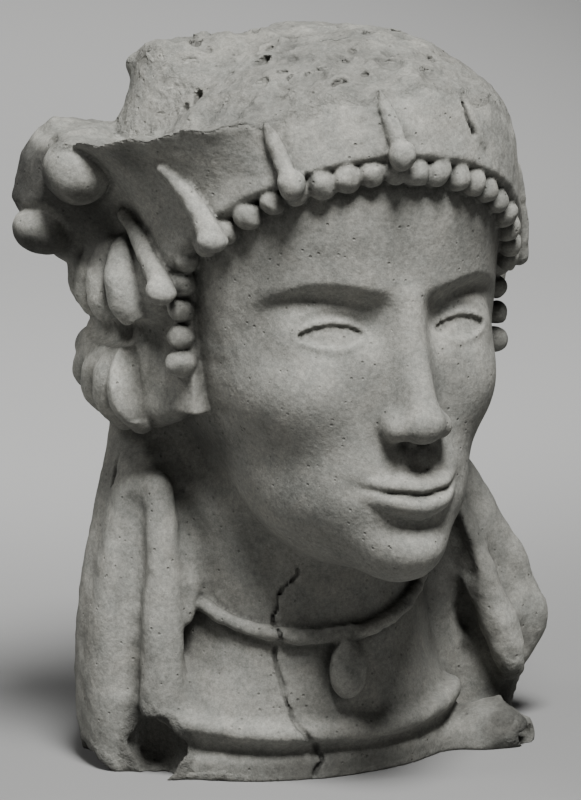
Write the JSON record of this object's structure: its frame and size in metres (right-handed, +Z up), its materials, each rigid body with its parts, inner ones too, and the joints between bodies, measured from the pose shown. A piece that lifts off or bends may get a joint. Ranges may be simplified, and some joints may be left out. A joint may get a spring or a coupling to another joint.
{
  "type": "bust",
  "caption": "Life-size fired clay female bust with broken flaring crown, bead row, side locks, long veil, cord necklace and drop pendant; stands on a flat underside.",
  "frame": {"origin": "on the flat underside, below the axis of the neck", "axes": "+Z up, -Y the way the face looks, +X the figure's left"},
  "size_m": [0.2364, 0.2101, 0.3068],
  "materials": {
    "terracotta": "matte, pitted fired clay"
  },
  "bodies": {
    "root": {"bust": "terracotta"}
  },
  "joints": []
}
